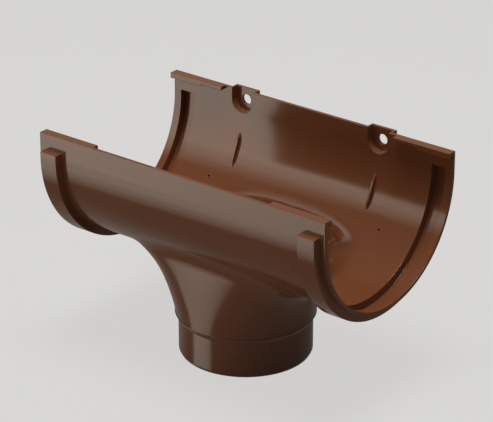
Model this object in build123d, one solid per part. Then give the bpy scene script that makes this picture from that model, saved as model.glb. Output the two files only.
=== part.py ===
from build123d import *
import os
from math import cos, pi, radians, sin, sqrt

# Gutter outlet: one injection moulding in PVC. A half-round run takes a gutter end on each side,
# and a funnel under its middle narrows to the round spigot that enters the downpipe.
# +Z is up, X runs along the gutter and Y across it, with the wall of the building at +Y.
# The origin is the middle of the spigot's foot, on which the outlet stands. Millimetres.

# The run
run_length = 205.5
bore_radius = 60.5  # half-round inside that clears the gutter
wall = 2.0
side_height = 13.3  # straight sides above the half round

# Spigot and funnel
spigot_radius = 40.0  # outside, fits a downpipe
spigot_height = 22.0
lead_in = 0.8  # chamfer at the foot, across
lead_in_height = 1.6
shoulder_step = 1.8  # the funnel's foot stands out past the spigot by this
shoulder_height = 3.4
shoulder_edge = 0.35  # fine ledge round the funnel's foot
funnel_height = 31.4  # from its foot up to the run's underside
mouth_overhang_length = 13.7  # the funnel at the run's underside stands out past its foot
mouth_overhang_width = 0.8
mouth_exponent = 2.6  # power of the funnel's outline there, where 2 is an ellipse
flare_radius = 45.0  # concave flare of both funnel ends
funnel_blend = 22.0  # soft fillet between funnel and run, outside
funnel_levels = (0, 0.33, 0.67, 1, 1.33)  # heights of its outlines, 1 at the run's underside
funnel_top_share = 0.47728  # its highest outline lies this share of the run's radius up the half round
outline_points = 16  # round one outline

# Seal seats: a raised bead outside with a groove behind it, at each end
seal_centre_inset = 9.8  # from the run's end
groove_width = 9.6  # at the mouth
groove_depth = 4.6
groove_top_drop = 11.3  # from the rim down to the groove's top
bead_wall = 1.5  # stock beside the groove
seal_draft = 0.1  # side slope of groove and bead, across per depth

# Lips that hold the gutter's edges, one at each end of both sides
lip_length = 39.4
lip_reach = 3.8  # past the inside wall
lip_thickness = 2.1
hook_length = 24.2
hook_drop = 3.4  # from the rim to the hook's lower edge
hook_thickness = 1.2

# Screw ears at the back
ear_offset = 50.3  # from the middle
ear_pocket_radius = 7.5
ear_wall = 1.2
ear_plate = 1.8  # its back lies in one plane with the beads' backs
ear_centre_drop = 7.4  # from the rim to the centre of the pocket's round end
screw_hole_radius = 3.3

# Stops inside both walls that the gutter ends slide up to, and a dimple beyond each
stop_offset = 50.3  # from the middle
stop_low, stop_high = 56.2, 76.7  # degrees up the half round
stop_slope = 4.0  # degrees of each sloping end
stop_height = 1.9
stop_thickness = 1.2
dimple_offset = 63.4
dimple_angle = 47.3
dimple_radius = 0.75
dimple_depth = 1.0

# Values that follow
run_radius = bore_radius + wall
half_run = run_length / 2
overcut = 5.0  # cutting tools pass the faces they open by this
funnel_foot_radius = spigot_radius + shoulder_step
funnel_foot_z = spigot_height + shoulder_height
run_bottom_z = funnel_foot_z + funnel_height
run_axis_z = run_bottom_z + run_radius
rim_z = run_axis_z + side_height
flare_end = funnel_levels[-1]  # above this level the funnel's ends stand upright
funnel_top = 1 + funnel_top_share * run_radius / funnel_height
mouth_half_length = funnel_foot_radius + mouth_overhang_length
ear_z = rim_z - ear_centre_drop
bead_radius = run_radius + groove_depth
ear_floor_y = bead_radius - ear_plate


def half_round(radius, length, top_z):
    """The run's D-shaped section, filled, along X."""
    outline = Line((-radius, top_z), (-radius, run_axis_z))
    outline += ThreePointArc((-radius, run_axis_z), (0, run_axis_z - radius), (radius, run_axis_z))
    outline += Line((radius, run_axis_z), (radius, top_z))
    outline += Line((radius, top_z), (-radius, top_z))
    return extrude(Plane.YZ * make_face(outline), length / 2, both=True)


def flare_half_length(z):
    """Half length of the funnel at height z: a concave arc from its foot out to the run's underside."""
    chord = sqrt(funnel_height**2 + mouth_overhang_length**2)
    reach = sqrt(flare_radius**2 - chord**2 / 4)
    centre_x = (funnel_foot_radius + mouth_half_length) / 2 + reach * funnel_height / chord
    centre_z = (funnel_foot_z + run_bottom_z) / 2 - reach * mouth_overhang_length / chord
    return centre_x - sqrt(flare_radius**2 - (z - centre_z) ** 2)


def oval(half_length, half_width, power):
    """A smooth closed face between an ellipse and a rectangle."""
    points = []
    for step in range(outline_points):
        turn = 2 * pi * step / outline_points
        length_part = abs(cos(turn) / half_length) ** power
        width_part = abs(sin(turn) / half_width) ** power
        radius = (length_part + width_part) ** (-1 / power)
        points.append((radius * cos(turn), radius * sin(turn)))
    return make_face(Spline(*points, periodic=True))


def funnel(inset):
    """The funnel, filled: ovals that shrink to a circle at its foot, all set in by inset."""
    sections = []
    for level in (*funnel_levels, funnel_top):
        z = funnel_foot_z + level * funnel_height
        flare_z = funnel_foot_z + min(level, flare_end) * funnel_height
        half_length = flare_half_length(flare_z) - inset
        half_width = funnel_foot_radius + level * mouth_overhang_width - inset
        power = 2 + min(level, flare_end) * (mouth_exponent - 2)
        sections.append(Pos(0, 0, z) * oval(half_length, half_width, power))
    return loft(sections)


def on_half_round(edge, radius):
    """Whether the edge lies on the run's half round of this radius, away from its ends."""
    middle = edge @ 0.5
    off = sqrt(middle.Y**2 + (middle.Z - run_axis_z) ** 2) - radius
    low = middle.Z < run_axis_z - radius / 4
    return abs(off) < wall / 4 and low and abs(middle.X) < half_run - seal_centre_inset


def run_and_funnel(inset, length, top_z):
    """Run and funnel blended together, filled, with every face set in by inset."""
    radius = run_radius - inset
    body = half_round(radius, length, top_z) + funnel(inset)
    crease = [edge for edge in body.edges() if on_half_round(edge, radius)]
    return fillet(crease, funnel_blend + inset)


def turned(points):
    """A solid of revolution about the spigot's axis from (radius, height) points."""
    return revolve(Plane.XZ * make_face(Polyline(*points, close=True)), Axis.Z)


def spigot_outside():
    return turned([
        (0, 0),
        (spigot_radius - lead_in, 0),
        (spigot_radius, lead_in_height),
        (spigot_radius, spigot_height),
        (funnel_foot_radius + shoulder_edge, funnel_foot_z),
        (0, funnel_foot_z),
    ])


def spigot_bore():
    return turned([
        (0, -overcut),
        (spigot_radius - wall, -overcut),
        (spigot_radius - wall, spigot_height),
        (funnel_foot_radius - wall - shoulder_edge, funnel_foot_z),
        (0, funnel_foot_z),
    ])


def u_ring(inner_radius, outer_radius, inner_half, outer_half, top_z):
    """A ring round the run's U with sloping sides, its section given by two radii and half widths."""
    section = make_face(Polyline(
        (-inner_half, inner_radius),
        (inner_half, inner_radius),
        (outer_half, outer_radius),
        (-outer_half, outer_radius),
        close=True,
    ))
    level = Plane((0, 0, run_axis_z), x_dir=(1, 0, 0), z_dir=(0, 0, 1)) * section
    round_part = revolve(level, Axis((0, 0, run_axis_z), (1, 0, 0)), 180)
    if round_part.center().Z > run_axis_z:
        round_part = revolve(level, Axis((0, 0, run_axis_z), (-1, 0, 0)), 180)
    side = extrude(level, top_z - run_axis_z, dir=(0, 0, 1))
    return round_part + side + mirror(side, Plane.XZ)


def seal_bead():
    half = groove_width / 2 + bead_wall
    slope = seal_draft * groove_depth
    top_z = rim_z - groove_top_drop + bead_wall
    return u_ring(bore_radius + wall / 2, bead_radius, half, half - slope, top_z)


def seal_groove():
    half = groove_width / 2
    slope = seal_draft * groove_depth
    top_z = rim_z - groove_top_drop
    return u_ring(bore_radius - wall / 2, bore_radius + groove_depth, half, half - slope, top_z)


def lip():
    """A flange at the rim, in from the run's end, with a hook along its outer stretch."""
    inner_y = bore_radius - lip_reach
    flange = Box(lip_length, run_radius - inner_y, lip_thickness, align=(Align.MAX, Align.MIN, Align.MAX))
    hook = Box(hook_length, hook_thickness, hook_drop, align=(Align.MAX, Align.MIN, Align.MAX))
    nose = hook.edges().filter_by(Axis.Y).group_by(Axis.Z)[0].sort_by(Axis.X)[0]
    hook = fillet(nose, hook_drop - lip_thickness)
    return Pos(half_run, inner_y, rim_z) * (flange + hook)


def u_tongue(radius, depth, top_z):
    """A tongue with a round lower end, upright, its back face at y 0 and its body toward -Y."""
    outline = Line((-radius, top_z), (-radius, ear_z))
    outline += ThreePointArc((-radius, ear_z), (0, ear_z - radius), (radius, ear_z))
    outline += Line((radius, ear_z), (radius, top_z)) + Line((radius, top_z), (-radius, top_z))
    return extrude(Plane.XZ * make_face(outline), depth)


def ear_boss():
    depth = bead_radius - bore_radius - wall / 2
    return Pos(0, bead_radius, 0) * u_tongue(ear_pocket_radius + ear_wall, depth, rim_z)


def ear_pocket():
    depth = ear_floor_y - bore_radius + lip_reach
    pocket = Pos(0, ear_floor_y, 0) * u_tongue(ear_pocket_radius, depth, rim_z + overcut)
    hole = Pos(0, ear_floor_y, ear_z) * Rot(90, 0, 0) * Cylinder(screw_hole_radius, 4 * ear_plate)
    return pocket + hole


def on_wall(angle, radius):
    """The place (y, z) at an angle up the half round on the +Y side."""
    return radius * sin(radians(angle)), run_axis_z - radius * cos(radians(angle))


def stop():
    """A thin fin across the run's wall with sloping ends and a straight inner edge."""
    root = bore_radius + wall / 2
    profile = Polyline(
        on_wall(stop_low, root),
        on_wall(stop_low, bore_radius),
        on_wall(stop_low + stop_slope, bore_radius - stop_height),
        on_wall(stop_high - stop_slope, bore_radius - stop_height),
        on_wall(stop_high, bore_radius),
        on_wall(stop_high, root),
        on_wall((stop_low + stop_high) / 2, root),
        close=True,
    )
    return extrude(Plane.YZ * make_face(profile), stop_thickness / 2, both=True)


def dimple():
    place = on_wall(dimple_angle, bore_radius)
    outward = (0, sin(radians(dimple_angle)), -cos(radians(dimple_angle)))
    return extrude(Plane((0, *place), z_dir=outward) * Circle(dimple_radius), dimple_depth, both=True)


def in_corner(piece, end, side):
    """A piece made for the corner at +X and +Y, mirrored to another one."""
    if end < 0:
        piece = mirror(piece, Plane.YZ)
    if side < 0:
        piece = mirror(piece, Plane.XZ)
    return piece


def gutter_outlet():
    outside = run_and_funnel(0, run_length, rim_z) + spigot_outside()
    cavity = run_and_funnel(wall, run_length + 2 * overcut, rim_z + overcut) + spigot_bore()
    corners = [(end, side) for end in (-1, 1) for side in (-1, 1)]
    for end in (-1, 1):
        outside += Pos(end * (half_run - seal_centre_inset), 0, 0) * seal_bead()
        cavity += Pos(end * (half_run - seal_centre_inset), 0, 0) * seal_groove()
        outside += Pos(end * ear_offset, 0, 0) * ear_boss()
        cavity += Pos(end * ear_offset, 0, 0) * ear_pocket()
    for corner in corners:
        cavity += in_corner(Pos(dimple_offset, 0, 0) * dimple(), *corner)
    body = outside - cavity
    for corner in corners:
        body += in_corner(lip(), *corner)
        body += in_corner(Pos(stop_offset, 0, 0) * stop(), *corner)
    return body


os.makedirs("parts", exist_ok=True)
outlet = gutter_outlet()
outlet.label = "gutter_outlet"
export_step(outlet, "parts/gutter_outlet.step")
print("gutter_outlet", outlet.is_valid, round(outlet.volume), len(outlet.solids()))
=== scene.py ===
# %% [markdown]
# # A gutter outlet in brown plastic
# The outlet is one injection moulding. A half-round run takes a gutter end on each side, and a
# funnel under its middle leads the water into a downpipe. It could be modelled here from a tube
# and a loft, but its shape comes ready made and true to size as the imported solid. So the work
# here is the finish, the light and the camera.
# Loading comes first, because everything else is placed by the solid's own numbers.

# %% Load the imported outlet
import math

import bpy
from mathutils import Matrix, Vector

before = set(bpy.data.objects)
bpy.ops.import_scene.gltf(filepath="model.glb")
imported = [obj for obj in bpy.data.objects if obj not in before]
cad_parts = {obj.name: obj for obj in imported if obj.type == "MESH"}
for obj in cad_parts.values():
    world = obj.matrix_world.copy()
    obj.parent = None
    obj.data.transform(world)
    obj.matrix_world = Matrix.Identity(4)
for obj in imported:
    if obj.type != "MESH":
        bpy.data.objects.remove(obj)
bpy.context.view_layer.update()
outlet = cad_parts["gutter_outlet"]

# %% [markdown]
# ## Writing a finish as sums
# A finish is a network of shader nodes, and many of its nodes only add or multiply. Wiring each
# by hand hides what the network means. One small class wraps a node's output, so that a sum in
# Python adds the Math node that works it out.

# %% A wire that can be added and multiplied
class Wire:
    """One output of a node, in a material's network."""

    def __init__(self, tree, socket):
        self.tree, self.socket = tree, socket

    def node(self, kind, settings=None, output=None, **inputs):
        """Adds a node, makes its settings, feeds its inputs and gives one of its outputs.

        An input goes by its name, or by its number as i0 or i1 where names repeat. The output
        goes by its name, and is the first one in use where none is given.
        """
        made = self.tree.nodes.new(kind)
        for name, value in (settings or {}).items():
            setattr(made, name, value)
        for name, value in inputs.items():
            key = int(name[1:]) if name[1:].isdigit() else name.replace("_", " ")
            if isinstance(value, Wire):
                self.tree.links.new(value.socket, made.inputs[key])
            else:
                made.inputs[key].default_value = value
        first_in_use = next(out for out in made.outputs if out.enabled)
        return Wire(self.tree, made.outputs[output] if output else first_in_use)

    def math(self, operation, first, second):
        return self.node("ShaderNodeMath", {"operation": operation}, i0=first, i1=second)

    def __add__(self, other):
        return self.math("ADD", self, other)

    def __radd__(self, other):
        return self.math("ADD", other, self)

    def __mul__(self, other):
        return self.math("MULTIPLY", self, other)

    def __rmul__(self, other):
        return self.math("MULTIPLY", other, self)


def finish(name):
    """A new material, its Principled shader and a wire with the place on the object."""
    material = bpy.data.materials.new(name)
    material.use_nodes = True
    shader = material.node_tree.nodes["Principled BSDF"]
    shade = Wire(material.node_tree, shader.outputs["BSDF"])
    return material, shader, shade.node("ShaderNodeTexCoord", output="Object")


def feed(node, name, wire):
    """Links a wire to a node's named input."""
    node.id_data.links.new(wire.socket, node.inputs[name])


# %% [markdown]
# ## Brown PVC, as it leaves the mould
# The real moulding is coloured right through. The steel of the mould was polished, so the skin
# mirrors the studio with soft edges, and it ripples a little where the plastic flowed and shrank.
# A flat colour with one roughness could stand for it, but it would look like a drawing. So the
# colour drifts a few percent over some centimetres, the roughness changes from place to place,
# and two sizes of bump break the mirror images up: long low waves, and a grain far finer than a
# millimetre. No moulded edge is razor sharp either, so the shading rounds the edges a little.

# %% The moulded skin
brown = (0.150, 0.0520, 0.0240)
brown_warm = (0.185, 0.0650, 0.0300)
drift_share = 0.7
polish, cloud_dulling, grain_dulling = 0.10, 0.05, 0.03
edge_round, wave_height, grain_height = 0.0004, 0.0003, 0.00002
pvc_ior = 1.56

pvc, shader, place = finish("moulded brown PVC")
drift = place.node("ShaderNodeTexNoise", Vector=place, Scale=26.0, Detail=3.0, Roughness=0.55)
clouds = place.node("ShaderNodeTexNoise", Vector=place, Scale=180.0, Detail=4.0, Roughness=0.6)
grain = place.node("ShaderNodeTexNoise", Vector=place, Scale=2600.0, Detail=2.0, Roughness=0.5)
mixed = place.node(
    "ShaderNodeMix",
    {"data_type": "RGBA"},
    Factor=drift * drift_share + clouds * (1 - drift_share),
    i6=(*brown, 1),
    i7=(*brown_warm, 1),
)
edges = place.node("ShaderNodeBevel", {"samples": 8}, Radius=edge_round)
waves = place.node(
    "ShaderNodeBump", Strength=0.25, Distance=wave_height, Height=drift, Normal=edges
)
skin = place.node(
    "ShaderNodeBump", Strength=0.10, Distance=grain_height, Height=grain, Normal=waves
)
feed(shader, "Base Color", mixed)
feed(shader, "Roughness", polish + clouds * cloud_dulling + grain * grain_dulling)
feed(shader, "Normal", skin)
shader.inputs["IOR"].default_value = pvc_ior
outlet.data.materials.clear()
outlet.data.materials.append(pvc)
print("finish", pvc.name, "with", len(pvc.node_tree.nodes), "nodes")

# %% [markdown]
# ## The ground
# The photograph has an even pale ground with no horizon. A sheet that curves up behind the outlet
# could make it, but it would have to be turned for every other view. One wide floor does for
# ground and backdrop from all sides. The camera sees it as a plain pale tone with a share of its
# lit paper mixed in, which keeps the outlet's soft shadow and makes the corners of the picture as
# pale as its middle.
# In the photograph the outlet's walls don't mirror any ground. They mirror a bright panel that
# reaches well below the horizon, so here the floor stays out of the mirror images.

# %% Floor
floor_size = 12
paper_tint = (0.38, 0.405, 0.46, 1)
ground_tone = (0.772, 0.764, 0.748, 1)
plain_share = 0.8

bpy.ops.object.select_all(action="DESELECT")
bpy.ops.mesh.primitive_plane_add(size=floor_size, location=(0, 0, 0))
floor = bpy.context.object
floor.name = "floor"
floor.visible_glossy = False
paper, shader, place = finish("pale paper")
shader.inputs["Base Color"].default_value = paper_tint
shader.inputs["Roughness"].default_value = 0.9
shader.inputs["Specular IOR Level"].default_value = 0.1
camera_ray, glossy_ray, transmission_ray = (
    place.node("ShaderNodeLightPath", output=f"Is {kind} Ray")
    for kind in ("Camera", "Glossy", "Transmission")
)
seen = camera_ray + glossy_ray + transmission_ray
lit = Wire(place.tree, shader.outputs["BSDF"])
plain = place.node("ShaderNodeEmission", Color=ground_tone, Strength=1.0)
both = place.node("ShaderNodeMixShader", i0=seen * plain_share, i1=lit, i2=plain)
feed(place.tree.nodes["Material Output"], "Surface", both)
floor.data.materials.append(paper)
print("floor", floor.dimensions[0], "m across")

# %% [markdown]
# ## Lights
# Any soft light would show the shape, but the pale streaks on the walls and the dark corners come
# from one studio. So where its light stood was worked out from the photograph. The outlet was
# rendered under one patch of sky at a time, and the patches were weighed until their sum came
# nearest to the picture. The weights show a tall panel at the front left, from above the outlet
# to well under it, a smaller one beside it at the front, and a box overhead. Two weak panels
# stand behind and low on the left. The rest of the room is dim.
# A cloth softbox is brightest at its middle and fades to its rim. One area lamp would show a hard
# rim in the mirror images, so each panel is made of nested lamps. They stand a little apart,
# because lamps in one plane hide each other there.

# %% Lamps
middle = Vector((0, 0, 0.08))
lamp_tone = (1.0, 0.93, 0.79)
layer_shares = (0.65, 0.88, 1.08, 1.28)
layer_gap = 0.02


def softbox(name, azimuth, elevation, distance, size, radiance):
    """Nested lamps turned to the outlet, their azimuth counted from the front, in degrees."""
    turn, rise = math.radians(azimuth), math.radians(elevation)
    flat = math.cos(rise)
    away = Vector((math.sin(turn) * flat, -math.cos(turn) * flat, math.sin(rise)))
    for layer, share in enumerate(layer_shares):
        lamp = bpy.data.lights.new(f"{name} {layer}", "AREA")
        lamp.shape = "RECTANGLE"
        lamp.size, lamp.size_y = size[0] * share, size[1] * share
        lamp.color = lamp_tone
        lamp.energy = radiance / len(layer_shares) * math.pi * lamp.size * lamp.size_y
        stand = bpy.data.objects.new(lamp.name, lamp)
        bpy.context.scene.collection.objects.link(stand)
        stand.location = middle + away * (distance + layer_gap * layer)
        stand.rotation_euler = away.to_track_quat("Z", "Y").to_euler()
        stand.visible_camera = False
    print(name, "at", [round(v, 2) for v in stand.location], "radiance", radiance)


# Each panel: its name, azimuth, elevation, distance, width and height, and radiance.
panels = (
    ("front left", -43, -1, 1.6, (0.95, 1.95), 2.25),
    ("front", -15, -8, 1.6, (0.60, 0.70), 2.7),
    ("overhead", 0, 90, 1.2, (0.60, 0.50), 15.0),
    ("behind left", -155, 17, 1.5, (1.60, 0.65), 0.20),
    ("low left", -120, -42, 1.5, (1.60, 0.80), 0.12),
)
for panel in panels:
    softbox(*panel)

# %% [markdown]
# ## The dim room
# A photographer's room is dark but never black, and its walls send a little warm light back. A
# box of walls round the outlet could do that and would cost render time. One even world does the
# same for an object as small as this.

# %% Room
room_glow = 0.13

world = bpy.data.worlds.new("room")
bpy.context.scene.world = world
world.use_nodes = True
room = world.node_tree.nodes["Background"]
room.inputs["Color"].default_value = (*lamp_tone, 1)
room.inputs["Strength"].default_value = room_glow
print("room", world.name, "glows at", room_glow)

# %% [markdown]
# ## Camera
# The photograph looks down on the outlet from the front right. The camera could be set by eye,
# but a few degrees would shift every edge. So it was solved from the outlet's own corners and the
# spigot's ellipse.

# %% Camera
eye = Vector((0.85705, -1.09805, 0.72601))
look = Vector((-0.55931, 0.71696, -0.41610))
lens_mm, sensor_mm = 192.16, 36.0
nearest, farthest = 0.05, 50

lens = bpy.data.cameras.new("photograph")
lens.lens, lens.sensor_width = lens_mm, sensor_mm
lens.clip_start, lens.clip_end = nearest, farthest
camera = bpy.data.objects.new("photograph", lens)
bpy.context.scene.collection.objects.link(camera)
camera.location = eye
camera.rotation_euler = look.to_track_quat("-Z", "Y").to_euler()
bpy.context.scene.camera = camera
bpy.context.scene.view_settings.view_transform = "Standard"
print("camera", round(eye.length, 3), "m from the foot, lens", lens_mm, "mm")
